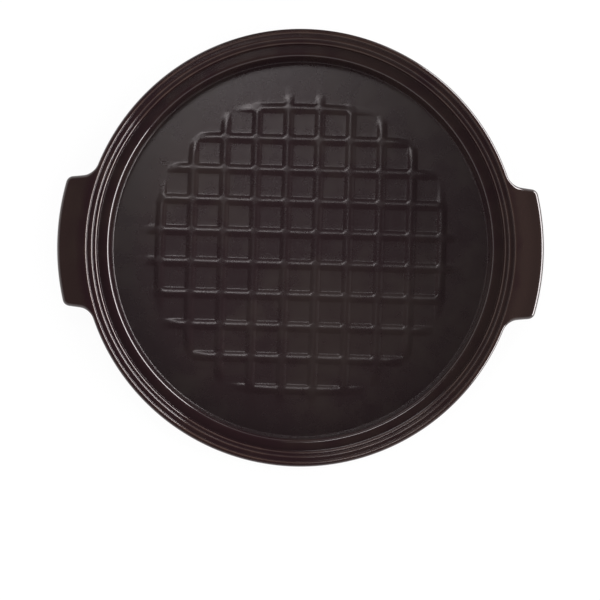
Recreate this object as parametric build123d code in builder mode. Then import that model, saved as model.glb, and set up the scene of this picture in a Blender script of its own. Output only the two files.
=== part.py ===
from build123d import *

import os
from math import hypot, radians, sqrt, tan

# Stoneware bread cloche: a round base with two tab handles, and the domed lid taken off it.
# Lengths are millimetres. The origin is at the middle of the base's foot, on the table,
# +Z is up and the handles lie along the X axis. The dome stands on its rim behind the base.

# Foot and outside of the base
foot_inset = 12.2           # well's wall in to the edge of the foot
foot_lift = 1.6             # the glazed body stays this far above the table
foot_rounding = 0.8
heel_wall = 3.5             # wall left beside the well at the heel's corner
heel_rounding = 11.0
wall_thickness = 7.0        # wall beside the top of the well
flange_root_depth = 8.0     # seat down to the corner where wall and flange meet
flange_root_rounding = 6.0
rim_band = 10.9             # upright outer face of the rim, before its roundings
rim_band_rounding = 3.0

# Well of the base
floor_thickness = 9.0
well_radius = 133.2
well_depth = 22.0           # seat down to the floor
well_flare = 1.3            # the well's wall leans out this far over its depth
well_floor_rounding = 3.0
well_lip_rounding = 2.5

# Seat for the dome, and the stepped collar around it
seat_width = 7.7
seat_rounding = 1.1
collar_rise = 5.8           # seat up to the first ledge
step_rise = 1.6             # each of the two low steps above it
riser_lean = 0.6            # each riser leans out this far
inner_ledge = 2.5
outer_ledge = 3.6
rim_crest = 2.9
step_rounding = 0.9
step_valley_rounding = 0.7
rim_rounding = 1.9

# Raised ribs on the floor: a square lattice cut off by a circle
rib_count = 10
rib_pitch = 22.2
rib_height = 1.45
rib_foot_width = 4.8
rib_crest_width = 2.4
rib_field_inset = 23.2      # well's wall in to the ends of the ribs
rib_taper = 9.0             # length over which a rib runs down to the floor
rib_root = 2.0              # the ribs reach this far into the floor

# Handles
handle_length = 17.4        # out from the rim, at the middle of the handle
handle_width = 91.9         # across the handle where it leaves the rim
handle_flare = 6.5          # degrees that each side turns out towards the rim
handle_drop = 2.4           # rim crest down to the top of the handle
handle_thickness = 9.6
handle_root = 5.6           # the handle reaches this far in behind the rim's outer face
handle_root_inset = 0.4     # its root ring stays this far inside the rim's outer face
handle_corner = 3.8
handle_root_rounding = 12.0
handle_top_rounding = 3.2
handle_under_rounding = 3.0
grip_radius = 9.0           # shallow finger groove under each handle
grip_depth = 1.5
grip_inset = 9.4            # handle's tip in to the middle of the groove

# Dome
dome_clearance = 1.2        # dome's rim to the collar around the seat, when it is on
dome_rim_rounding = 1.6
dome_band_height = 9.0      # thicker band around the dome's rim
dome_band_proud = 1.6
dome_wall = 6.5
dome_wall_height = 36.0     # straight part of the wall, from the rim up
dome_rise = 82.0            # curved part above it
dome_place_gap = 51.0       # gap on the table between the base's rim and the dome

# Knob on the dome
knob_radius = 27.0
knob_neck_radius = 17.0
knob_neck_height = 12.0
knob_head_height = 18.0
knob_under_rise = 3.0       # the head's underside rises this far from neck to edge
knob_flare = 13.0           # how far the neck's foot spreads on the dome
knob_flare_rounding = 10.0
knob_neck_rounding = 4.0
knob_edge_rounding = 4.5
knob_top_rounding = 9.0

# Sizes that follow from the values above
seat_height = floor_thickness + well_depth
seat_inner = well_radius + well_flare
foot_radius = well_radius - foot_inset
rib_field_radius = well_radius - rib_field_inset
seat_outer = seat_inner + seat_width
inner_ledge_height = seat_height + collar_rise
outer_ledge_height = inner_ledge_height + step_rise
rim_height = outer_ledge_height + step_rise
inner_ledge_radius = seat_outer + riser_lean
outer_ledge_radius = inner_ledge_radius + inner_ledge + riser_lean
rim_crest_radius = outer_ledge_radius + outer_ledge + riser_lean
rim_radius = rim_crest_radius + rim_crest
handle_reach = rim_radius + handle_length
handle_top = rim_height - handle_drop
handle_bottom = handle_top - handle_thickness
dome_rim_radius = seat_outer - dome_clearance
dome_radius = dome_rim_radius - dome_band_proud
dome_bore = dome_radius - dome_wall
dome_place = rim_radius + dome_place_gap + dome_rim_radius

# Largest part of an outline's straight that its two roundings may use up together
rounded_share = 0.96


def turning_reach(before, corner, after):
    """How far a rounding of radius one reaches along the straights from its corner."""
    turn = (corner - before).get_angle(after - corner)
    return tan(radians(turn) / 2)


def draw_outline(corners):
    """Draw a closed outline whose corners, each a place and a rounding, are limited to fit."""
    places = [Vector(*place) for place, rounding in corners]
    roundings = [rounding for place, rounding in corners]
    count = len(corners)
    reaches = [
        roundings[i] * turning_reach(places[i - 1], places[i], places[(i + 1) % count])
        for i in range(count)
    ]
    limits = [1.0] * count
    for i in range(count):
        room = (places[i] - places[i - 1]).length * rounded_share
        used = reaches[i] + reaches[i - 1]
        if used > room:
            limits[i] = min(limits[i], room / used)
            limits[i - 1] = min(limits[i - 1], room / used)
    fitted = [rounding * limit for rounding, limit in zip(roundings, limits)]
    FilletPolyline(*places, radius=fitted, close=True)


def plan_corners(plan):
    """Corners on both sides of the handles, in groups from the rim out to the tips."""
    corners = plan.vertices().filter_by(lambda corner: abs(corner.Y) > handle_width / 4)
    return corners.group_by(lambda corner: round(hypot(corner.X, corner.Y)))


def dome_height_at(radius):
    """Height of the dome's outer surface at a radius from its middle."""
    return dome_wall_height + dome_rise * sqrt(1 - (radius / dome_radius) ** 2)


# Ribs, drawn as long bars across the floor both ways and cut off by a shallow cone
rib_outline = [
    (-rib_foot_width / 2, floor_thickness - rib_root),
    (rib_foot_width / 2, floor_thickness - rib_root),
    (rib_foot_width / 2, floor_thickness),
    (rib_crest_width / 2, floor_thickness + rib_height),
    (-rib_crest_width / 2, floor_thickness + rib_height),
    (-rib_foot_width / 2, floor_thickness),
]
# The cone carries on above the crests, so that its flat top cuts nothing
cone_top_radius = rib_field_radius - 2 * rib_taper
cone_outline = [
    (0, floor_thickness - rib_root),
    (rib_field_radius, floor_thickness - rib_root),
    (rib_field_radius, floor_thickness),
    (cone_top_radius, floor_thickness + 2 * rib_height),
    (0, floor_thickness + 2 * rib_height),
]

with BuildPart() as ribs:
    for plane in (Plane.XZ, Plane.YZ):
        with BuildSketch(plane):
            with GridLocations(rib_pitch, 0, rib_count, 1):
                Polygon(*rib_outline, align=None)
        extrude(amount=rib_field_radius, both=True)
    with BuildSketch(Plane.XZ):
        Polygon(*cone_outline, align=None)
    revolve(axis=Axis.Z, mode=Mode.INTERSECT)

# Handles, cut from one ring whose plan has a lobe on each side
lobe_middle_width = handle_width / 2 + rim_radius * tan(radians(handle_flare))
lobe_tip_width = handle_width / 2 - handle_length * tan(radians(handle_flare))
lobe_outline = [
    (0, lobe_middle_width),
    (-handle_reach, lobe_tip_width),
    (-handle_reach, -lobe_tip_width),
    (0, -lobe_middle_width),
    (handle_reach, -lobe_tip_width),
    (handle_reach, lobe_tip_width),
]
grip_place = (handle_reach - grip_inset, handle_bottom + grip_depth - grip_radius)

with BuildPart() as handles:
    with BuildSketch(Plane.XY.offset(handle_bottom)) as handle_plan:
        Circle(handle_reach)
        Polygon(*lobe_outline, align=None, mode=Mode.INTERSECT)
        Circle(rim_radius - handle_root_inset)
        fillet(plan_corners(handle_plan)[0], radius=handle_root_rounding)
        fillet(plan_corners(handle_plan)[-1], radius=handle_corner)
        Circle(rim_radius - handle_root, mode=Mode.SUBTRACT)
    extrude(amount=handle_thickness)
    fillet(handles.faces().sort_by(Axis.Z)[-1].outer_wire().edges(), radius=handle_top_rounding)
    fillet(handles.faces().sort_by(Axis.Z)[0].outer_wire().edges(), radius=handle_under_rounding)
    with BuildSketch(Plane.XZ):
        with Locations(grip_place):
            Circle(grip_radius)
    revolve(axis=Axis.Z, mode=Mode.SUBTRACT)

# Base, turned from one outline, with its handles and ribs
base_outline = [
    ((0, 0), 0),
    ((foot_radius, 0), foot_rounding),
    ((foot_radius + foot_rounding, foot_lift), foot_rounding),
    ((well_radius + heel_wall, foot_lift), heel_rounding),
    ((seat_inner + wall_thickness, seat_height - flange_root_depth), flange_root_rounding),
    ((rim_radius, rim_height - rim_band), rim_band_rounding),
    ((rim_radius, rim_height), rim_rounding),
    ((rim_crest_radius, rim_height), step_rounding),
    ((rim_crest_radius - riser_lean, outer_ledge_height), step_valley_rounding),
    ((outer_ledge_radius, outer_ledge_height), step_rounding),
    ((outer_ledge_radius - riser_lean, inner_ledge_height), step_valley_rounding),
    ((inner_ledge_radius, inner_ledge_height), step_rounding),
    ((seat_outer, seat_height), seat_rounding),
    ((seat_inner, seat_height), well_lip_rounding),
    ((well_radius, floor_thickness), well_floor_rounding),
    ((0, floor_thickness), 0),
]

with BuildPart() as base:
    with BuildSketch(Plane.XZ):
        with BuildLine():
            draw_outline(base_outline)
        make_face()
    revolve(axis=Axis.Z)
    add(handles.part)
    add(ribs.part)

# Dome, turned about its own axis where it stands behind the base
dome_plane = Plane.XZ.offset(-dome_place)
dome_axis = Axis((0, dome_place, 0), (0, 0, 1))
dome_spring = (0, dome_wall_height)

rim_outline = [
    ((dome_bore, 0), dome_rim_rounding),
    ((dome_rim_radius, 0), dome_rim_rounding),
    ((dome_rim_radius, dome_band_height), dome_rim_rounding),
    ((dome_radius, dome_band_height + dome_band_proud), dome_rim_rounding),
    ((dome_radius, dome_wall_height), 0),
    ((dome_bore, dome_wall_height), 0),
]
knob_root_height = dome_height_at(knob_neck_radius) - dome_wall / 2
knob_foot_radius = knob_neck_radius + knob_flare
knob_head_bottom = dome_wall_height + dome_rise + knob_neck_height
knob_top = knob_head_bottom + knob_head_height
knob_outline = [
    ((0, knob_root_height), 0),
    ((knob_foot_radius, knob_root_height), 0),
    ((knob_foot_radius, dome_height_at(knob_foot_radius)), 0),
    ((knob_neck_radius, dome_height_at(knob_neck_radius)), knob_flare_rounding),
    ((knob_neck_radius, knob_head_bottom), knob_neck_rounding),
    ((knob_radius, knob_head_bottom + knob_under_rise), knob_edge_rounding),
    ((knob_radius, knob_top), knob_top_rounding),
    ((0, knob_top), 0),
]

with BuildPart() as dome:
    with BuildSketch(dome_plane):
        with BuildLine():
            draw_outline(rim_outline)
        make_face()
    with BuildSketch(dome_plane):
        with BuildLine():
            outer = EllipticalCenterArc(dome_spring, dome_radius, dome_rise, arc_size=90)
            inner = EllipticalCenterArc(dome_spring, dome_bore, dome_rise - dome_wall, arc_size=90)
            Line(outer @ 0, inner @ 0)
            Line(outer @ 1, inner @ 1)
        make_face()
    with BuildSketch(dome_plane):
        with BuildLine():
            draw_outline(knob_outline)
        make_face()
    revolve(axis=dome_axis)

base.part.label = "base"
dome.part.label = "dome"

os.makedirs("parts", exist_ok=True)
for piece in (base, dome):
    export_step(piece.part, f"parts/{piece.part.label}.step")
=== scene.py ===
from math import asin, atan2, cos, pi, radians, sin, sqrt, tan

import bmesh
import bpy
from bpy.props import FloatProperty, FloatVectorProperty, IntProperty, PointerProperty
from mathutils import Euler, Matrix, Vector


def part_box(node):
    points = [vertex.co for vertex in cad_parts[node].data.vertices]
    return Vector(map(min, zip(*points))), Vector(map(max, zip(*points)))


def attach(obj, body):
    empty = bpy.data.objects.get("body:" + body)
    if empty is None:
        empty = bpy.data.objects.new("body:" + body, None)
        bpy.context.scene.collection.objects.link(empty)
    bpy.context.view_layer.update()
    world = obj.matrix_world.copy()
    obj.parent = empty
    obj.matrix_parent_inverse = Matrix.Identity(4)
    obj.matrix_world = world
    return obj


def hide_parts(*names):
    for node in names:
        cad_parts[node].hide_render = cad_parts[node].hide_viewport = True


bl_info = {
    "name": "Stoneware bread cloche",
    "version": (1, 0, 0),
    "blender": (4, 5, 0),
    "location": "3D View > Sidebar > Cloche",
    "description": "Builds a glazed stoneware bread cloche: its ribbed base and its domed lid",
    "category": "Add Mesh",
}

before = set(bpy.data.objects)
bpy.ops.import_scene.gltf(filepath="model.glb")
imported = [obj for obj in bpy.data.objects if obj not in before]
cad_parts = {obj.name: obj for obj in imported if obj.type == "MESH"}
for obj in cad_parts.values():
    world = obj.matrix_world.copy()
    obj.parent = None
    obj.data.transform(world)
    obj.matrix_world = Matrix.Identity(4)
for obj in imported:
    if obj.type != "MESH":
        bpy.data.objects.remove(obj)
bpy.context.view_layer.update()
BASE_LOW, BASE_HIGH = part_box("base")
DOME_LOW, DOME_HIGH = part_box("dome")
DOME_MIDDLE = (DOME_LOW + DOME_HIGH) / 2

# Blender's unit is the metre, and the sizes below are in millimetres
MM = 0.001
FULL_TURN = 2 * pi
QUARTER_TURN = pi / 2


def length(name, default, description):
    """A size in metres, shown with its unit, from a default in millimetres."""
    return FloatProperty(name=name, description=description, default=default * MM, min=0.0,
                         precision=5, unit="LENGTH")


def colour(name, default, description):
    """A colour of the glaze or the clay."""
    return FloatVectorProperty(name=name, description=description, default=default, size=3,
                               min=0.0, max=1.0, subtype="COLOR")


class ClocheBaseSizes(bpy.types.PropertyGroup):
    foot_radius: length("Foot", 121.0, "Radius of the bare clay foot")
    foot_lift: length("Foot lift", 1.6, "Height of the glazed body above the table")
    heel_radius: length("Heel", 136.7, "Radius of the corner between underside and wall")
    flange_root_radius: length("Flange root", 141.5, "Radius at which the wall meets the flange")
    flange_root_height: length("Flange root height", 23.0, "Height at which they meet")
    rim_corner_height: length("Rim's lower corner", 29.1, "Height of the rim's lower corner")
    rim_radius: length("Rim", 152.98, "Outer radius of the rim")
    rim_height: length("Rim height", 40.0, "Height of the rim's crest")
    crest_radius: length("Crest", 149.9, "Inner radius of the rim's crest")
    outer_ledge_radius: length("Outer ledge", 145.9, "Inner radius of the outer ledge")
    outer_ledge_height: length("Outer ledge height", 38.4, "Height of the outer ledge")
    inner_ledge_radius: length("Inner ledge", 142.8, "Inner radius of the inner ledge")
    inner_ledge_height: length("Inner ledge height", 36.8, "Height of the inner ledge")
    riser_lean: length("Riser lean", 0.6, "How far each low riser leans out")
    seat_outer: length("Seat outside", 142.2, "Outer radius of the seat for the dome")
    seat_inner: length("Seat inside", 134.5, "Inner radius of the seat for the dome")
    seat_height: length("Seat height", 31.0, "Height of the seat for the dome")
    well_radius: length("Well", 133.2, "Radius of the well at its floor")
    floor_height: length("Floor height", 9.0, "Height of the well's floor")
    handle_reach: length("Handle reach", 170.35, "Radius out to the tips of the handles")
    handle_width: length("Handle width", 92.7, "Width of a handle where it leaves the rim")
    handle_top: length("Handle top", 37.6, "Height of the handle's upper face")
    handle_bottom: length("Handle underside", 28.0, "Height of the handle's lower face")
    handle_flare: FloatProperty(name="Handle flare", default=radians(6.5), subtype="ANGLE",
                                description="How far each side turns out towards the rim")


class ClocheRibSizes(bpy.types.PropertyGroup):
    count: IntProperty(name="Count", default=10, min=1, description="Ribs each way")
    pitch: length("Pitch", 22.2, "Distance from rib to rib")
    height: length("Height", 0.9, "Height of a rib above the floor")
    crest: length("Crest", 0.7, "Half width of the crest")
    foot: length("Foot", 4.2, "Half width of the foot")
    field_radius: length("Field", 110.0, "Radius at which the ribs have run out")
    taper: length("Taper", 9.0, "Length over which a rib runs out")


class ClocheDomeSizes(bpy.types.PropertyGroup):
    rim_radius: length("Rim", 141.0, "Outer radius of the dome's rim")
    wall_radius: length("Wall", 139.4, "Outer radius of the dome's wall")
    wall: length("Wall thickness", 6.5, "Thickness of the dome's wall")
    band_height: length("Band", 9.0, "Height of the band around the rim")
    spring_height: length("Spring", 36.0, "Height at which the wall starts to curve in")
    rise: length("Rise", 82.0, "Height of the curved part")
    neck_radius: length("Neck", 17.0, "Radius of the knob's neck")
    neck_height: length("Neck height", 12.0, "Length of the knob's neck")
    knob_radius: length("Knob", 27.0, "Radius of the knob")
    knob_height: length("Knob height", 18.0, "Height of the knob's head")


class ClocheGlaze(bpy.types.PropertyGroup):
    body: colour("Glaze", (0.0118, 0.0046, 0.0058), "Brown-black of the thick glaze")
    warm: colour("Warm patches", (0.0190, 0.0116, 0.0096), "Browner tone where the glaze is thinner")
    edge: colour("Edges", (0.046, 0.025, 0.018), "Brown where the glaze breaks over an edge")
    clay: colour("Clay", (0.43, 0.31, 0.21), "Bare fired clay")


# Wires with rounded corners, and shapes turned from them

MERGE_DISTANCE = 0.002 * MM
SHARP = (0.0, 1)
ROOM_FOR_GUARDS = 2.5


def turn_at(before, corner, after):
    """Angle through which an outline turns at a corner."""
    return (corner - before).angle(after - corner)


def rounded_wire(bm, corners, guard):
    """Draw a wire through (radius, height, rounding, steps) corners and round each of them.

    A guard point just outside each rounding keeps the straight beside it straight."""
    places = [Vector((radius, 0, height)) for radius, height, rounding, steps in corners]
    reaches = [0.0] * len(corners)
    for i in range(1, len(corners) - 1):
        reaches[i] = corners[i][2] * tan(turn_at(*places[i - 1:i + 2]) / 2)
    verts = [bm.verts.new(places[0])]
    rounded = []
    for i in range(1, len(corners)):
        run = places[i] - places[i - 1]
        free = run.length - reaches[i] - reaches[i - 1]
        stops = []
        if free > ROOM_FOR_GUARDS * guard:
            if reaches[i - 1]:
                stops.append(reaches[i - 1] + guard)
            if reaches[i]:
                stops.append(run.length - reaches[i] - guard)
        for stop in stops:
            verts.append(bm.verts.new(places[i - 1] + run.normalized() * stop))
        verts.append(bm.verts.new(places[i]))
        if reaches[i]:
            rounded.append((verts[-1], reaches[i], corners[i][3]))
    for pair in zip(verts, verts[1:]):
        bm.edges.new(pair)
    for vert, reach, steps in rounded:
        bmesh.ops.bevel(bm, geom=[vert], offset=reach, offset_type="OFFSET", segments=steps,
                        profile=0.5, affect="VERTICES", material=-1, clamp_overlap=False)
    return verts[0], verts[-1]


def spin_all(bm, steps):
    """Turn everything in a mesh once about the upright axis."""
    bmesh.ops.spin(bm, geom=bm.verts[:] + bm.edges[:], cent=(0, 0, 0), axis=(0, 0, 1),
                   angle=FULL_TURN, steps=steps, use_merge=True, use_duplicate=False)


def close_up(bm):
    """Merge doubles and point every face outwards."""
    bmesh.ops.remove_doubles(bm, verts=bm.verts[:], dist=MERGE_DISTANCE)
    bmesh.ops.recalc_face_normals(bm, faces=bm.faces[:])


# Finishing a piece

SHORTEST_SPAN = 0.05 * MM
FIT_SLACK = 0.05 * MM


def edge_sharpness(bm):
    """Store how sharply the surface bends outwards at each vertex, in radians per millimetre."""
    sharpness = bm.verts.layers.float.new("edge")
    for vert in bm.verts:
        bends = []
        for edge in vert.link_edges:
            if len(edge.link_faces) == 2:
                span = sum(face.calc_area() for face in edge.link_faces) / (2 * edge.calc_length())
                bends.append(edge.calc_face_angle_signed(0.0) / max(span, SHORTEST_SPAN))
        vert[sharpness] = max(0.0, max(bends, default=0.0)) * MM


def check_fit(bm, name, low, high):
    """Stop if a piece leaves the box of the solid that it stands for."""
    for vert in bm.verts:
        for place, least, most in zip(vert.co, low, high):
            if not least - FIT_SLACK <= place <= most + FIT_SLACK:
                raise ValueError(f"{name} leaves the box of its solid")


def finished_piece(bm, name, body, node, material):
    """Make a mesh object of a piece, at the origin, in place of its plain solid."""
    close_up(bm)
    edge_sharpness(bm)
    mesh = bpy.data.meshes.new(name)
    bm.to_mesh(mesh)
    bm.free()
    mesh.shade_smooth()
    mesh.materials.append(material)
    piece = bpy.data.objects.new(name, mesh)
    bpy.context.scene.collection.objects.link(piece)
    flatten = piece.modifiers.new("Flat faces stay flat", "WEIGHTED_NORMAL")
    flatten.mode = "FACE_AREA_WITH_ANGLE"
    flatten.keep_sharp = False
    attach(piece, body)
    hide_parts(node)
    return piece


# Plan of the rim and its two handles

HANDLE_CORNER = 5.2 * MM
HANDLE_ROOT = 12.0 * MM
TIP_STEPS, CORNER_STEPS, SIDE_STEPS, ROOT_STEPS, RIM_STEPS = 12, 5, 3, 9, 50


def direction(angle):
    """Unit vector in the plan at an angle from the handles' axis."""
    return Vector((cos(angle), sin(angle), 0.0))


def spread(low, high, steps):
    """Evenly spaced values from low up to, but without, high."""
    return [low + (high - low) * step / steps for step in range(steps)]


def quarter_plan(sizes):
    """Points and outward directions from the middle of a handle round to a quarter turn."""
    flare = sizes.handle_flare
    side = direction(QUARTER_TURN - flare)
    side_distance = side.dot(Vector((sizes.rim_radius, sizes.handle_width / 2, 0.0)))
    tip_radius = sizes.handle_reach - HANDLE_CORNER
    corner_angle = asin((side_distance - HANDLE_CORNER) / tip_radius) - flare
    corner = direction(corner_angle) * tip_radius
    root_radius = sizes.rim_radius + HANDLE_ROOT
    root_angle = asin((side_distance + HANDLE_ROOT) / root_radius) - flare
    root = direction(root_angle) * root_radius
    stations = []
    for angle in spread(0.0, corner_angle, TIP_STEPS):
        stations.append((direction(angle) * sizes.handle_reach, direction(angle)))
    for angle in spread(corner_angle, QUARTER_TURN - flare, CORNER_STEPS):
        stations.append((corner + direction(angle) * HANDLE_CORNER, direction(angle)))
    side_start = corner + side * HANDLE_CORNER
    side_end = root - side * HANDLE_ROOT
    for share in spread(0.0, 1.0, SIDE_STEPS):
        stations.append((side_start.lerp(side_end, share), side))
    for angle in spread(3 * QUARTER_TURN - flare, pi + root_angle, ROOT_STEPS):
        stations.append((root + direction(angle) * HANDLE_ROOT, -direction(angle)))
    for angle in spread(root_angle, QUARTER_TURN, RIM_STEPS):
        stations.append((direction(angle) * sizes.rim_radius, direction(angle)))
    return stations


def whole_plan(sizes):
    """Stations all the way round: the quarter plan and its mirror images."""
    quarter = quarter_plan(sizes)
    quarter.append((Vector((0.0, sizes.rim_radius, 0.0)), Vector((0.0, 1.0, 0.0))))
    flip_x = Matrix.Scale(-1, 4, (1, 0, 0))
    flip_y = Matrix.Scale(-1, 4, (0, 1, 0))
    half = quarter + [(flip_x @ place, flip_x @ out) for place, out in reversed(quarter[:-1])]
    return half + [(flip_y @ place, flip_y @ out) for place, out in reversed(half[1:-1])]


def depth_to_rim(place, out, rim_radius):
    """Distance inwards from a place on the plan to the rim's outer wall.

    A way in that misses the rim counts as deep."""
    along = place.dot(out)
    square = along * along - place.length_squared + rim_radius * rim_radius
    if square < 0:
        return rim_radius
    return max(0.0, along - sqrt(square))


def smooth_step(value):
    """Ease from 0 to 1."""
    value = min(1.0, max(0.0, value))
    return value * value * (3 - 2 * value)


# Rings of the section over the rim and the handle, from the rim's crest to the flange beneath

RIM_ROUNDING = 2.1 * MM
HANDLE_TOP_ROUNDING = 3.3 * MM
HANDLE_UNDER_ROUNDING = 3.0 * MM
CREST_WIDTH = 2.2 * MM
BLEND_WIDTH = 8.0 * MM
SLOPE_WIDTH = 14.0 * MM
SLOPE_SHARES = (0.06, 0.13, 0.21, 0.3, 0.4, 0.52, 0.66, 0.82)
EDGE_STEPS, UNDER_STEPS, UNDERSIDE_STEPS = 7, 5, 8


def arc_point(place, out, rounding, middle_height, angle):
    """Point of a rounding that touches the plan at a place, at an angle above the level."""
    inwards = rounding * (1 - cos(angle))
    return place - out * inwards + Vector((0, 0, middle_height + rounding * sin(angle)))


def handle_section(station, sizes):
    """Places of the rings at one station, where the handle leaves the rim in one soft slope."""
    place, out = station
    rim_radius = sizes.rim_radius
    depth = depth_to_rim(place, out, rim_radius)
    share_of_handle = smooth_step(depth / BLEND_WIDTH)
    rounding = RIM_ROUNDING + (HANDLE_TOP_ROUNDING - RIM_ROUNDING) * share_of_handle
    drop = (sizes.rim_height - sizes.handle_top) * share_of_handle
    crest = place.normalized() * (rim_radius - CREST_WIDTH)
    edge = place - out * rounding

    def height(spot):
        """Height of the slope from the rim's crest down to the handle's upper face."""
        return sizes.rim_height - drop * smooth_step((spot.length - crest.length) / SLOPE_WIDTH)

    rings = []
    for share in SLOPE_SHARES:
        spot = crest.lerp(edge, share)
        rings.append(spot + Vector((0, 0, height(spot))))
    for step in range(EDGE_STEPS + 1):
        angle = QUARTER_TURN * (1 - step / EDGE_STEPS)
        rings.append(arc_point(place, out, rounding, height(edge) - rounding, angle))
    under = HANDLE_UNDER_ROUNDING
    slope = atan2(sizes.rim_corner_height - sizes.flange_root_height,
                  rim_radius - sizes.flange_root_radius)
    end_turn = QUARTER_TURN - slope * (1 - smooth_step(depth / under))
    for step in range(UNDER_STEPS + 1):
        angle = -end_turn * step / UNDER_STEPS
        rings.append(arc_point(place, out, under, sizes.handle_bottom + under, angle))
    last = rings[-1]
    root_place = place.normalized() * flange_meeting_radius(sizes)
    root_place.z = sizes.handle_bottom
    for step in range(1, UNDERSIDE_STEPS + 1):
        rings.append(hollowed(last.lerp(root_place, step / UNDERSIDE_STEPS), sizes))
    return rings


def flange_meeting_radius(sizes):
    """Radius at which the handle's flat underside meets the sloping flange."""
    rise = sizes.rim_corner_height - sizes.flange_root_height
    run = sizes.rim_radius - sizes.flange_root_radius
    return sizes.rim_radius - (sizes.rim_corner_height - sizes.handle_bottom) * run / rise


# The shallow finger groove under each handle

GRIP_DEPTH = 1.5 * MM
GRIP_INSET = 9.4 * MM
GRIP_HALF_WIDTH = 5.6 * MM
GRIP_HALF_LENGTH = 40.0 * MM
GRIP_FADE = 9.0 * MM


def hollowed(place, sizes):
    """Raise a point of the handle's underside into its finger groove."""
    radius = Vector((place.x, place.y)).length
    across = abs(radius - (sizes.handle_reach - GRIP_INSET)) / GRIP_HALF_WIDTH
    along = (GRIP_HALF_LENGTH - abs(place.y)) / GRIP_FADE
    lift = GRIP_DEPTH * smooth_step(1 - across) * smooth_step(along)
    return place + Vector((0, 0, lift))


# The ribbed floor

RIB_SHARES = (0.0, 0.4, 0.62, 0.82, 1.0)
CELL_STEPS = 4
FIELD_MARGINS = (3.0 * MM, 6.0 * MM, 9.0 * MM)


def rib_middles(ribs):
    """Distances of the ribs' middles from the base's axis."""
    return [(i - (ribs.count - 1) / 2) * ribs.pitch for i in range(ribs.count)]


def floor_lines(ribs):
    """Places of the floor mesh's lines: close over each rib and wide between them."""
    lines = []
    middles = rib_middles(ribs)
    for middle in middles:
        for share in RIB_SHARES:
            offset = ribs.crest + (ribs.foot - ribs.crest) * share
            lines += [middle - offset, middle + offset]
    free = ribs.pitch - 2 * ribs.foot
    for middle in middles[:-1]:
        for step in range(1, CELL_STEPS):
            lines.append(middle + ribs.foot + free * step / CELL_STEPS)
    for margin in FIELD_MARGINS:
        lines += [middles[-1] + ribs.foot + margin, middles[0] - ribs.foot - margin]
    return sorted(lines)


def rib_share(distance, ribs):
    """Share of the rib's height at a distance from its middle line."""
    return 1 - smooth_step((abs(distance) - ribs.crest) / (ribs.foot - ribs.crest))


def floor_height_at(x, y, ribs, middles, floor_height):
    """Height of the floor: two crossing sets of ribs that run out at a circle."""
    x_share = max(rib_share(x - middle, ribs) for middle in middles)
    y_share = max(rib_share(y - middle, ribs) for middle in middles)
    both = 1 - (1 - x_share) * (1 - y_share)
    end = smooth_step((ribs.field_radius - sqrt(x * x + y * y)) / ribs.taper)
    return floor_height + ribs.height * both * end


def add_ribbed_floor(bm, ribs, floor_height):
    """Lay a square mesh on the floor, raise its ribs and join it to the ring around it."""
    lines = floor_lines(ribs)
    middles = rib_middles(ribs)
    segments = len(lines) - 1
    rim_edges = [edge for edge in bm.edges if edge.is_boundary]
    grid = bmesh.ops.create_grid(bm, x_segments=segments, y_segments=segments, size=segments / 2)
    laid = set(grid["verts"])
    for vert in grid["verts"]:
        x = lines[round(vert.co.x + segments / 2)]
        y = lines[round(vert.co.y + segments / 2)]
        vert.co = (x, y, floor_height_at(x, y, ribs, middles, floor_height))
    outside = [face for face in bm.faces if face.verts[0] in laid
               and all(corner.co.xy.length > ribs.field_radius for corner in face.verts)]
    bmesh.ops.delete(bm, geom=outside, context="FACES")
    left = {vert for vert in laid if vert.is_valid}
    grid_edges = [edge for edge in bm.edges if edge.is_boundary and edge.verts[0] in left]
    bmesh.ops.triangle_fill(bm, edges=rim_edges + grid_edges, use_beauty=True, normal=(0, 0, 1))


# Materials

# Repeats per metre of the patterns in the glaze and the clay
BROAD_SCALE, RIPPLE_SCALE, MOTTLE_SCALE = 9.0, 60.0, 70.0
FINE_SCALE, SPECKLE_SCALE, GRAIN_SCALE = 420.0, 900.0, 1600.0

# Where a pattern starts to show and where it shows in full
PATCH_RANGE = (0.44, 0.62)
THIN_RANGE = (0.3, 1.3)
SPECKLE_RANGE = (0.62, 0.7)

PATCH_STRENGTH = 0.75
HANDLE_STRENGTH = 0.75
EDGE_STRENGTH = 0.8
SPECKLE_STRENGTH = 0.7
SPECKLE_DARKNESS = 0.45
GLOSSY_ROUGHNESS = 0.04
SATIN_ROUGHNESS = 0.165
CLAY_ROUGHNESS = 0.85
SATIN_RISE, SATIN_FADE = 4 * MM, 10 * MM
HANDLE_TONE_START, HANDLE_TONE_FULL = 1 * MM, 6 * MM
GLAZE_LINE_SWAY, GLAZE_LINE_FADE = 0.8 * MM, 0.5 * MM
PEEL_HEIGHT = 0.005
GRAIN_HEIGHT = 0.1
GLAZE_IOR = 1.6
GLAZE_SHINE = 0.7
GLAZE_SHINE_TINT = (1.0, 0.94, 0.955, 1.0)

# Places of a colour mix among its node's sockets, several of which share a name
MIX_SHARE, MIX_FIRST, MIX_SECOND = 0, 6, 7


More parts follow.
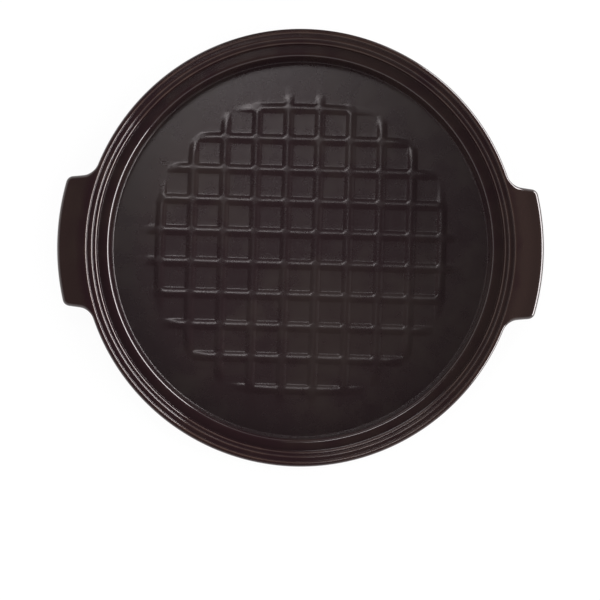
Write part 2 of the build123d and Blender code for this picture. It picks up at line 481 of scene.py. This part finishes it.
class Value:
    """A socket of a material's node tree, with the arithmetic that the materials use."""

    def __init__(self, shader, socket):
        self.shader = shader
        self.socket = socket

    def maths(self, operation, *values):
        """The result of an operation on some values."""
        inputs = dict(enumerate(values))
        return self.shader.node("ShaderNodeMath", {"operation": operation}, inputs)["Value"]

    def __add__(self, other):
        return self.maths("ADD", self, other)

    def __sub__(self, other):
        return self.maths("SUBTRACT", self, other)

    def __rsub__(self, other):
        return self.maths("SUBTRACT", other, self)

    def __mul__(self, other):
        return self.maths("MULTIPLY", self, other)

    def __pow__(self, other):
        return self.maths("POWER", self, other)

    __radd__ = __add__
    __rmul__ = __mul__

    def clamped(self):
        """This value held between 0 and 1."""
        return self.shader.node("ShaderNodeClamp", {}, {"Value": self})["Result"]

    def ramp(self, low, high):
        """0 below low, 1 above high and eased between them."""
        settings = {"interpolation_type": "SMOOTHSTEP"}
        inputs = {"Value": self, "From Min": low, "From Max": high}
        return self.shader.node("ShaderNodeMapRange", settings, inputs)["Result"]


class Shader:
    """The nodes of one material, or of the world around the object."""

    def __init__(self, owner):
        owner.use_nodes = True
        self.owner = owner
        self.tree = owner.node_tree
        self.tree.nodes.clear()

    def node(self, kind, settings=None, inputs=None):
        """Add a node with its settings and inputs, and return its outputs by their identifiers."""
        node = self.tree.nodes.new(kind)
        for key, value in (settings or {}).items():
            setattr(node, key, value)
        for key, value in (inputs or {}).items():
            if isinstance(value, Value):
                self.tree.links.new(value.socket, node.inputs[key])
            else:
                node.inputs[key].default_value = value
        return {socket.identifier: Value(self, socket) for socket in node.outputs}

    def blend(self, share, first, second):
        """A colour between two others."""
        inputs = {MIX_SHARE: share, MIX_FIRST: rgba(first), MIX_SECOND: rgba(second)}
        return self.node("ShaderNodeMix", {"data_type": "RGBA"}, inputs)["Result_Color"]

    def place(self, centre):
        """Object coordinates measured from a centre."""
        coordinates = self.node("ShaderNodeTexCoord")["Object"]
        moved = {"Vector": coordinates, "Location": [-c for c in centre]}
        return self.node("ShaderNodeMapping", {"vector_type": "POINT"}, moved)["Vector"]

    def split(self, vector):
        """The x, y and z of a vector."""
        return self.node("ShaderNodeSeparateXYZ", {}, {"Vector": vector}).values()

    def noise(self, place, scale, detail=1.0, roughness=0.5):
        """Soft random values about 0.5."""
        inputs = {"Vector": place, "Scale": scale, "Detail": detail, "Roughness": roughness}
        return self.node("ShaderNodeTexNoise", {}, inputs)["Fac"]

    def attribute(self, name):
        """A value stored on the mesh."""
        return self.node("ShaderNodeAttribute", {"attribute_name": name})["Fac"]

    def looks(self):
        """1 for a camera's straight look, and 1 for its look in a reflection or through glass."""
        rays = self.node("ShaderNodeLightPath")
        return rays["Is Camera Ray"], (rays["Is Glossy Ray"] + rays["Is Transmission Ray"]).clamped()


def rgba(value):
    """A colour with its alpha, or a link as it is."""
    return value if isinstance(value, Value) else (*value, 1.0)


def glaze_material(name, glaze, centre, bare_height, breaking, waviness, base=None):
    """Thick dark glaze: glossy, browner over edges, and bare clay below a height.

    Breaking says how soon an edge shows brown, and waviness is the depth of the ripple in
    millimetres. The base gives its sizes, for its satin well and browner handles."""
    shader = Shader(bpy.data.materials.new(name))
    place = shader.place(centre)
    x, y, height = shader.split(place)
    broad = shader.noise(place, BROAD_SCALE, detail=3.0)
    mottle = shader.noise(place, MOTTLE_SCALE, detail=4.0, roughness=0.6)

    # Colour: patches and thin edges in the glaze, then the clay with its dark speckles
    patches = (broad * 0.7 + mottle * 0.3).ramp(*PATCH_RANGE)
    if base:
        radius = (x * x + y * y) ** 0.5
        handles = radius.ramp(base.rim_radius - HANDLE_TONE_START,
                              base.rim_radius + HANDLE_TONE_FULL)
        patches = (patches * 0.8 + handles * HANDLE_STRENGTH).clamped()
    thin = (shader.attribute("edge") * breaking * (0.4 + mottle * 1.2)).ramp(*THIN_RANGE)
    tone = shader.blend(patches * PATCH_STRENGTH, glaze.body, glaze.warm)
    tone = shader.blend(thin * EDGE_STRENGTH, tone, glaze.edge)
    swaying_height = height + (mottle - 0.5) * GLAZE_LINE_SWAY
    bare = 1 - swaying_height.ramp(bare_height, bare_height + GLAZE_LINE_FADE)
    speckle = shader.noise(place, SPECKLE_SCALE).ramp(*SPECKLE_RANGE)
    dark_clay = [share * SPECKLE_DARKNESS for share in glaze.clay]
    clay = shader.blend(speckle * SPECKLE_STRENGTH, glaze.clay, dark_clay)
    tone = shader.blend(bare, tone, clay)

    # Gloss: satin in the well up to part of its wall, and dull on the clay
    roughness = GLOSSY_ROUGHNESS + 0.06 * broad + 0.03 * mottle
    if base:
        satin_top = base.floor_height + SATIN_RISE
        low = 1 - height.ramp(satin_top, satin_top + SATIN_FADE)
        inside = 1 - radius.ramp(base.seat_inner, base.seat_outer)
        roughness = roughness + low * inside * (SATIN_ROUGHNESS + 0.05 * mottle)
    roughness = roughness + bare * (CLAY_ROUGHNESS - roughness)

    # Relief in millimetres: long ripples and fine orange peel in the glaze, and grain in the clay
    ripple = (shader.noise(place, RIPPLE_SCALE) - 0.5) * waviness
    peel = (shader.noise(place, FINE_SCALE, detail=2.0) - 0.5) * PEEL_HEIGHT
    grain = shader.noise(place, GRAIN_SCALE) * GRAIN_HEIGHT * bare
    relief = {"Strength": 1.0, "Distance": MM, "Height": ripple + peel + grain}
    bump = shader.node("ShaderNodeBump", {}, relief)["Normal"]
    inputs = {"Base Color": tone, "Roughness": roughness, "Normal": bump, "IOR": GLAZE_IOR,
              "Specular IOR Level": GLAZE_SHINE, "Specular Tint": GLAZE_SHINE_TINT}
    surface = shader.node("ShaderNodeBsdfPrincipled", {}, inputs)["BSDF"]
    shader.node("ShaderNodeOutputMaterial", {}, {"Surface": surface})
    return shader.owner


# The base: roundings of its section's corners, each with its steps

WELL_FLOOR_CORNER = (0.5 * MM, 4)
WELL_LIP_CORNER = (2.5 * MM, 7)
SEAT_VALLEY_CORNER = (0.1 * MM, 2)
LEDGE_CORNER = (1.3 * MM, 6)
LEDGE_VALLEY_CORNER = (0.3 * MM, 2)
CREST_CORNER = (1.1 * MM, 6)
FLANGE_CORNER = (6.0 * MM, 6)
HEEL_CORNER = (11.0 * MM, 9)
FOOT_CORNER = (0.8 * MM, 3)
FOOT_LEAN = 0.8 * MM
FLOOR_RING_RADIUS = 118.0 * MM
BASE_GUARD = 0.45 * MM
BASE_BARE_HEIGHT = 0.9 * MM
AXIS_RADIUS = 0.001 * MM
RIM_BULGE = 0.1


def inside_corners(sizes):
    """The base's section from the ring around its floor up over the seat and ledges to the crest."""
    return (
        (FLOOR_RING_RADIUS, sizes.floor_height, *SHARP),
        (sizes.well_radius, sizes.floor_height, *WELL_FLOOR_CORNER),
        (sizes.seat_inner, sizes.seat_height, *WELL_LIP_CORNER),
        (sizes.seat_outer, sizes.seat_height, *SEAT_VALLEY_CORNER),
        (sizes.inner_ledge_radius, sizes.inner_ledge_height, *LEDGE_CORNER),
        (sizes.outer_ledge_radius - sizes.riser_lean, sizes.inner_ledge_height,
         *LEDGE_VALLEY_CORNER),
        (sizes.outer_ledge_radius, sizes.outer_ledge_height, *LEDGE_CORNER),
        (sizes.crest_radius - sizes.riser_lean, sizes.outer_ledge_height, *LEDGE_VALLEY_CORNER),
        (sizes.crest_radius, sizes.rim_height, *CREST_CORNER),
        (sizes.rim_radius - CREST_WIDTH, sizes.rim_height, *SHARP),
    )


def outside_corners(sizes):
    """The base's section from the flange beneath the rim down to the middle of the foot."""
    return (
        (flange_meeting_radius(sizes), sizes.handle_bottom, *SHARP),
        (sizes.flange_root_radius, sizes.flange_root_height, *FLANGE_CORNER),
        (sizes.heel_radius, sizes.foot_lift, *HEEL_CORNER),
        (sizes.foot_radius + FOOT_LEAN, sizes.foot_lift, *FOOT_CORNER),
        (sizes.foot_radius, 0.0, *FOOT_CORNER),
        (sizes.foot_radius / 2, 0.0, *SHARP),
        (0.0, 0.0, *SHARP),
    )


def add_rim_wire(bm, ring, start, count, sizes):
    """Carry the section from the crest round to the flange with one numbered point per ring.

    The points bulge outwards only to keep their rings apart until place_rings moves them."""
    crest_end = start.co.x
    meeting = flange_meeting_radius(sizes)
    before = start
    for step in range(count):
        share = (step + 1) / count
        bulge = sizes.rim_radius * RIM_BULGE * sin(pi * share)
        vert = bm.verts.new((crest_end + (meeting - crest_end) * share + bulge, 0,
                             sizes.rim_height + (sizes.handle_bottom - sizes.rim_height) * share))
        vert[ring] = step + 1
        bm.edges.new((before, vert))
        before = vert
    return before


def place_rings(bm, ring, stations, sizes):
    """Put each point of the turned section at its station, with the numbered rings on the handles."""
    sections = [handle_section(station, sizes) for station in stations]
    for vert in bm.verts:
        radius = vert.co.xy.length
        if radius < AXIS_RADIUS:
            continue
        step = round(atan2(vert.co.y, vert.co.x) / FULL_TURN * len(stations)) % len(stations)
        if vert[ring]:
            vert.co = sections[step][vert[ring] - 1]
        else:
            vert.co.xy = stations[step][0].normalized().xy * radius


class CLOCHE_OT_base(bpy.types.Operator):
    """Build the round base with its stepped rim, handles and ribbed floor"""

    bl_idname = "cloche.base"
    bl_label = "Base"

    def execute(self, context):
        sizes = context.scene.cloche_base
        stations = whole_plan(sizes)
        ring_count = len(handle_section(stations[0], sizes))
        bm = bmesh.new()
        ring = bm.verts.layers.int.new("ring")
        floor_end, crest_end = rounded_wire(bm, inside_corners(sizes), BASE_GUARD)
        flange_end = add_rim_wire(bm, ring, crest_end, ring_count, sizes)
        flange_start, foot_middle = rounded_wire(bm, outside_corners(sizes), BASE_GUARD)
        bmesh.ops.pointmerge(bm, verts=[flange_end, flange_start], merge_co=flange_end.co)
        spin_all(bm, len(stations))
        close_up(bm)
        place_rings(bm, ring, stations, sizes)
        add_ribbed_floor(bm, context.scene.cloche_ribs, sizes.floor_height)
        check_fit(bm, "The base", BASE_LOW, BASE_HIGH)
        material = glaze_material("Dark glaze on the base", context.scene.cloche_glaze, (0, 0, 0),
                                  BASE_BARE_HEIGHT, breaking=1.0, waviness=0.05, base=sizes)
        finished_piece(bm, "baking_base", "base", "base", material)
        return {"FINISHED"}


# The dome: roundings of its section's corners, each with its steps

KNOB_TOP_CORNER = (9.0 * MM, 9)
KNOB_EDGE_CORNER = (4.5 * MM, 6)
KNOB_UNDER_CORNER = (4.0 * MM, 6)
NECK_FOOT_CORNER = (10.0 * MM, 9)
BAND_CORNER = (1.6 * MM, 4)
DOME_RIM_CORNER = (1.6 * MM, 5)
BAND_SLOPE = 1.6 * MM
KNOB_UNDER_RISE = 3.0 * MM
NECK_FLARE = 13.0 * MM
DOME_GUARD = 0.5 * MM
DOME_BARE_HEIGHT = 0.7 * MM
CROWN_STEPS, VAULT_STEPS, DOME_TURN_STEPS = 34, 30, 224


def crown_height(radius, sizes):
    """Height of the dome's outside at a radius."""
    return sizes.spring_height + sizes.rise * sqrt(1 - (radius / sizes.wall_radius) ** 2)


def knob_corners(sizes):
    """The knob's section from the middle of its top down to the foot of its neck."""
    head = sizes.spring_height + sizes.rise + sizes.neck_height
    top = head + sizes.knob_height
    flare = sizes.neck_radius + NECK_FLARE
    return (
        (0.0, top, *SHARP),
        (sizes.knob_radius / 2, top, *SHARP),
        (sizes.knob_radius, top, *KNOB_TOP_CORNER),
        (sizes.knob_radius, head + KNOB_UNDER_RISE, *KNOB_EDGE_CORNER),
        (sizes.neck_radius, head, *KNOB_UNDER_CORNER),
        (sizes.neck_radius, crown_height(sizes.neck_radius, sizes), *NECK_FOOT_CORNER),
        (flare, crown_height(flare, sizes), *SHARP),
    )


def band_corners(sizes):
    """The straight wall and the rim band, from the outside round to the inside."""
    inner_radius = sizes.wall_radius - sizes.wall
    return (
        (sizes.wall_radius, sizes.spring_height, *SHARP),
        (sizes.wall_radius, sizes.band_height + BAND_SLOPE, *BAND_CORNER),
        (sizes.rim_radius, sizes.band_height, *BAND_CORNER),
        (sizes.rim_radius, 0.0, *DOME_RIM_CORNER),
        (inner_radius, 0.0, *DOME_RIM_CORNER),
        (inner_radius, sizes.spring_height, *SHARP),
    )


def add_oval(bm, before, radius, rise, spring_height, start, end, steps):
    """Carry a wire along an oval between two angles from the upright axis."""
    for step in range(1, steps + 1):
        angle = start + (end - start) * (step / steps)
        vert = bm.verts.new((radius * sin(angle), 0, spring_height + rise * cos(angle)))
        bm.edges.new((before, vert))
        before = vert
    return before


class CLOCHE_OT_dome(bpy.types.Operator):
    """Build the domed lid with its rim band and knob"""

    bl_idname = "cloche.dome"
    bl_label = "Dome"

    def execute(self, context):
        sizes = context.scene.cloche_dome
        spring = sizes.spring_height
        neck_end = asin((sizes.neck_radius + NECK_FLARE) / sizes.wall_radius)
        bm = bmesh.new()
        knob_top, knob_foot = rounded_wire(bm, knob_corners(sizes), DOME_GUARD)
        crown_end = add_oval(bm, knob_foot, sizes.wall_radius, sizes.rise, spring,
                             neck_end, QUARTER_TURN, CROWN_STEPS)
        wall_start, vault_start = rounded_wire(bm, band_corners(sizes), DOME_GUARD)
        bmesh.ops.pointmerge(bm, verts=[crown_end, wall_start], merge_co=crown_end.co)
        add_oval(bm, vault_start, sizes.wall_radius - sizes.wall, sizes.rise - sizes.wall, spring,
                 QUARTER_TURN, 0.0, VAULT_STEPS)
        spin_all(bm, DOME_TURN_STEPS)
        middle = (DOME_MIDDLE.x, DOME_MIDDLE.y, 0)
        bmesh.ops.translate(bm, verts=bm.verts[:], vec=middle)
        check_fit(bm, "The dome", DOME_LOW, DOME_HIGH)
        material = glaze_material("Dark glaze on the dome", context.scene.cloche_glaze, middle,
                                  DOME_BARE_HEIGHT, breaking=2.2, waviness=0.16)
        finished_piece(bm, "domed_lid", "dome", "dome", material)
        return {"FINISHED"}


# The stage, in metres

FLOOR_HALF_SIZE = 8.0
FLOOR_TONE = (0.88, 0.88, 0.88, 1)
FLOOR_WHITENESS = 0.84
WHITE = (1, 1, 1, 1)

# Strength of the surround: as a light, and in reflections at the horizon and overhead
SURROUND_LIGHT = 0.74
HORIZON_SHINE = 0.8
OVERHEAD_SHINE = 0.05
SHINE_FADE = (0.1, 0.75)

CAMERA_LENS = 145.8
CAMERA_SENSOR = 36.0
CAMERA_TARGET = (0.0007, -0.0368, 0.04)
CAMERA_DISTANCE = 1.694
CAMERA_ELEVATION = radians(88.9)
CAMERA_ROLL = radians(1.65)


def camera_matrix(target, elevation, roll, distance):
    """Place of a camera in front that looks at a target from an elevation above the table."""
    turn = Euler((QUARTER_TURN - elevation, 0, 0)).to_matrix().to_4x4()
    back = Matrix.Translation((0, 0, distance))
    return Matrix.Translation(target) @ turn @ Matrix.Rotation(roll, 4, "Z") @ back


def soft_light(name, azimuth, elevation, distance, width, height, radiance):
    """A softbox that faces the middle of the base from a direction, with an even radiance."""
    light = bpy.data.lights.new(name, "AREA")
    light.shape = "RECTANGLE"
    light.size = width
    light.size_y = height
    light.energy = radiance * pi * width * height
    lamp = bpy.data.objects.new(name, light)
    place = direction(azimuth) * cos(elevation) + Vector((0, 0, sin(elevation)))
    lamp.location = place * distance
    lamp.rotation_euler = place.to_track_quat("Z", "Y").to_euler()
    lamp.visible_camera = False
    bpy.context.scene.collection.objects.link(lamp)
    return lamp


def add_lamps():
    """Light from the right, fill in at the left and glow on the satin floor from overhead."""
    soft_light("Softbox right", azimuth=radians(12.5), elevation=radians(14),
               distance=2.4, width=4.8, height=1.1, radiance=11.5)
    fill = soft_light("Fill left", azimuth=radians(185), elevation=radians(38),
                      distance=2.4, width=3.0, height=1.6, radiance=3.4)
    # A mirror image of the fill would lay a grey band on the dark glaze
    fill.visible_glossy = False
    soft_light("Panel overhead", azimuth=radians(110), elevation=radians(72),
               distance=1.9, width=0.3, height=0.3, radiance=6.5)


def add_pale_floor():
    """A wide pale floor, white to the eye, that keeps the shadow of what stands on it."""
    bm = bmesh.new()
    bmesh.ops.create_grid(bm, x_segments=1, y_segments=1, size=FLOOR_HALF_SIZE)
    mesh = bpy.data.meshes.new("pale_floor")
    bm.to_mesh(mesh)
    bm.free()
    shader = Shader(bpy.data.materials.new("Pale floor"))
    plain = shader.node("ShaderNodeBsdfDiffuse", {}, {"Color": FLOOR_TONE})["BSDF"]
    white = shader.node("ShaderNodeEmission", {}, {"Color": WHITE, "Strength": 1.0})["Emission"]
    straight, mirrored = shader.looks()
    share = (straight + mirrored) * FLOOR_WHITENESS
    surface = shader.node("ShaderNodeMixShader", {}, {"Fac": share, 1: plain, 2: white})["Shader"]
    shader.node("ShaderNodeOutputMaterial", {}, {"Surface": surface})
    mesh.materials.append(shader.owner)
    floor = bpy.data.objects.new("pale_floor", mesh)
    bpy.context.scene.collection.objects.link(floor)


def studio_world():
    """A white surround that is dim overhead in reflections and gives little light itself."""
    shader = Shader(bpy.data.worlds.new("Studio"))
    x, y, height = shader.split(shader.node("ShaderNodeTexCoord")["Generated"])
    shine = HORIZON_SHINE - height.ramp(*SHINE_FADE) * (HORIZON_SHINE - OVERHEAD_SHINE)
    straight, mirrored = shader.looks()
    strength = SURROUND_LIGHT + straight * (1 - SURROUND_LIGHT) \
        + mirrored * (shine - SURROUND_LIGHT)
    inputs = {"Color": WHITE, "Strength": strength}
    background = shader.node("ShaderNodeBackground", {}, inputs)["Background"]
    shader.node("ShaderNodeOutputWorld", {}, {"Surface": background})
    return shader.owner


def photo_camera():
    """A camera at the photo's angle, nearly overhead and slightly turned."""
    camera_data = bpy.data.cameras.new("Photo view")
    camera_data.sensor_width = CAMERA_SENSOR
    camera_data.lens = CAMERA_LENS
    camera = bpy.data.objects.new("Photo view", camera_data)
    camera.matrix_world = camera_matrix(CAMERA_TARGET, CAMERA_ELEVATION, CAMERA_ROLL,
                                        CAMERA_DISTANCE)
    bpy.context.scene.collection.objects.link(camera)
    return camera


class CLOCHE_OT_stage(bpy.types.Operator):
    """Set the pale floor, the soft lights and the camera"""

    bl_idname = "cloche.stage"
    bl_label = "Stage"

    def execute(self, context):
        add_pale_floor()
        context.scene.world = studio_world()
        add_lamps()
        context.scene.camera = photo_camera()
        context.scene.view_settings.view_transform = "Standard"
        return {"FINISHED"}


class CLOCHE_PT_panel(bpy.types.Panel):
    """Sizes, colours and building steps of the cloche"""

    bl_label = "Bread cloche"
    bl_idname = "CLOCHE_PT_panel"
    bl_space_type = "VIEW_3D"
    bl_region_type = "UI"
    bl_category = "Cloche"

    def draw(self, context):
        for group in GROUPS:
            box = self.layout.box()
            values = getattr(context.scene, group)
            for name in values.bl_rna.properties.keys():
                if name not in {"rna_type", "name"}:
                    box.prop(values, name)
        for operator in OPERATORS:
            self.layout.operator(operator.bl_idname)


GROUPS = {
    "cloche_base": ClocheBaseSizes,
    "cloche_ribs": ClocheRibSizes,
    "cloche_dome": ClocheDomeSizes,
    "cloche_glaze": ClocheGlaze,
}
OPERATORS = (CLOCHE_OT_base, CLOCHE_OT_dome, CLOCHE_OT_stage)
CLASSES = (*GROUPS.values(), *OPERATORS, CLOCHE_PT_panel)


def register():
    for item in CLASSES:
        bpy.utils.register_class(item)
    for name, group in GROUPS.items():
        setattr(bpy.types.Scene, name, PointerProperty(type=group))


def unregister():
    for name in GROUPS:
        delattr(bpy.types.Scene, name)
    for item in reversed(CLASSES):
        bpy.utils.unregister_class(item)


def main():
    register()
    bpy.ops.cloche.base()
    bpy.ops.cloche.dome()
    bpy.ops.cloche.stage()


if __name__ == "__main__":
    main()
